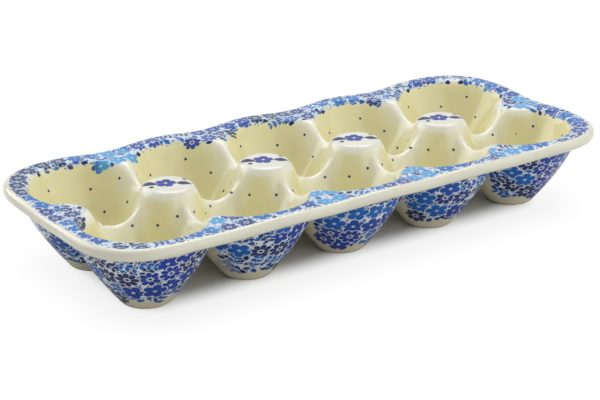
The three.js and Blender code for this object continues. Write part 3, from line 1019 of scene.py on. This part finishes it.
# Camera and lamps.
CAMERA_PLACE = Vector((-0.48979, -0.69662, 0.35987))
CAMERA_AIM = Vector((-0.01685, -0.01341, 0.025))
CAMERA_LENS = 100.66
CAMERA_SENSOR = 36
CAMERA_NEAR = 0.01
PANEL_AIM = Vector((0, 0, 0.02))
PANELS = (
    {"name": "left_panel", "place": Vector((-0.58, 0.94, 0.69)), "size": (1.1, 0.8), "power": 6.5},
    {"name": "right_panel", "place": Vector((0.57, -0.99, 0.61)), "size": (2.0, 1.2), "power": 7.0},
    {"name": "top_panel", "place": Vector((0.42, 0.50, 1.25)), "size": (1.1, 0.7), "power": 8.5})


def facing(place, aim):
    """The turn that points a lamp or a camera at an aim."""
    return (aim - place).to_track_quat("-Z", "Y").to_euler()


def add_floor():
    """A pale floor that keeps the crate's shadow, turns white to the camera and in reflections farther out,
    and is clear from below."""
    paint = Finish(bpy.data.materials.new("studio_floor"))
    x, y, _ = paint.parts(paint.node("ShaderNodeTexCoord", {}, {}, "Object"))
    rays = ("Is Camera Ray", "Is Glossy Ray", "Is Transmission Ray")
    seen, mirrored, through = paint.node("ShaderNodeLightPath", {}, {}, *rays)
    past_end = paint.math("MAXIMUM", abs(x) - END_CUP_X + FLOOR_END_LEAD, 0)
    past = paint.far(past_end, paint.math("MAXIMUM", abs(y) - HALF_ROW, 0))
    lift = paint.soft(past, *NEAR_FADE) * NEAR_SHARE + paint.soft(past, *FAR_FADE) * (1 - NEAR_SHARE)
    clear = paint.soft(past, *MIRROR_FADE) * (mirrored + through)
    shade = paint.node("ShaderNodeBsdfDiffuse", {}, {"Color": FLOOR_COLOUR}, 0)
    white = paint.node("ShaderNodeEmission", {}, {"Color": WHITE, "Strength": 1.0}, 0)
    above = paint.node("ShaderNodeMixShader", {}, {0: lift * seen + clear, 1: shade, 2: white}, 0)
    below = paint.node("ShaderNodeBsdfTransparent", {}, {}, 0)
    from_below = paint.node("ShaderNodeNewGeometry", {}, {}, "Backfacing")
    floor_shader = paint.node("ShaderNodeMixShader", {}, {0: from_below, 1: above, 2: below}, 0)
    paint.node("ShaderNodeOutputMaterial", {}, {"Surface": floor_shader})

    corner_signs = ((-1, -1), (1, -1), (1, 1), (-1, 1))
    corners = [(sign_x * FLOOR_HALF, sign_y * FLOOR_HALF, -FLOOR_GAP) for sign_x, sign_y in corner_signs]
    mesh = bpy.data.meshes.new("floor")
    mesh.from_pydata(corners, [], [(0, 1, 2, 3)])
    mesh.materials.append(paint.owner)
    floor = bpy.data.objects.new("floor", mesh)
    bpy.context.scene.collection.objects.link(floor)


def add_panel(name, place, size, power):
    """A rectangular studio lamp that faces the crate."""
    lamp = bpy.data.lights.new(name, "AREA")
    lamp.shape = "RECTANGLE"
    lamp.size, lamp.size_y = size
    lamp.energy = power
    panel = bpy.data.objects.new(name, lamp)
    panel.location = place
    panel.rotation_euler = facing(place, PANEL_AIM)
    bpy.context.scene.collection.objects.link(panel)


def add_room():
    """A white sweep round the back and sides and a darker room in front, by the turn from the front."""
    paint = Finish(bpy.data.worlds.new("studio"))
    x, y, _ = paint.parts(paint.node("ShaderNodeTexCoord", {}, {}, "Generated"))
    front_x, front_y = ROOM_FRONT
    turn = paint.math("ARCTAN2", y * front_x - x * front_y, x * front_x + y * front_y)
    sweep = paint.soft(turn, *RIGHT_SWEEP_FADE) + paint.soft(turn, *LEFT_SWEEP_FADE)
    strength = sweep * SWEEP_LIGHT + ROOM_LIGHT
    white = paint.node("ShaderNodeBackground", {}, {"Color": WHITE, "Strength": strength}, 0)
    paint.node("ShaderNodeOutputWorld", {}, {"Surface": white})
    bpy.context.scene.world = paint.owner


def add_camera():
    """A long lens that sees the crate from the front left, a little above it."""
    lens = bpy.data.cameras.new("camera")
    lens.sensor_width = CAMERA_SENSOR
    lens.lens = CAMERA_LENS
    lens.clip_start = CAMERA_NEAR
    camera = bpy.data.objects.new("camera", lens)
    camera.location = CAMERA_PLACE
    camera.rotation_euler = facing(CAMERA_PLACE, CAMERA_AIM)
    bpy.context.scene.collection.objects.link(camera)
    bpy.context.scene.camera = camera


# The crate in its studio.
cup_glaze = glaze("cup_glaze", printed=True, dotted=True, sprigged=False)
rim_glaze = glaze("rim_glaze", printed=True, dotted=False, sprigged=False)
post_glaze = glaze("post_glaze", printed=False, dotted=True, sprigged=True)
for column, row in CUPS:
    place_name = f"{'front' if row < 0 else 'back'}_{column + 1}"
    border = cup_border(column in (0, CUPS_PER_ROW - 1))
    plan = in_crate(rings_in(border, FOOT_RADIUS), column, row)
    add_round_piece(f"egg_cup_{place_name}", cup_glaze, plan)
    add_rim(f"rim_{place_name}", rim_glaze, column, row)
for name, post_x in zip(POST_NAMES, POST_XS):
    circle = arc(0, 0, POST_BORDER, np.linspace(0, 2 * np.pi, 4 * POST_COLUMNS - 3)[:-1])
    add_round_piece(name, post_glaze, rings_in(circle, 0) + (post_x, 0))

add_floor()
for panel in PANELS:
    add_panel(**panel)
add_room()
add_camera()
bpy.context.scene.view_settings.view_transform = "Standard"
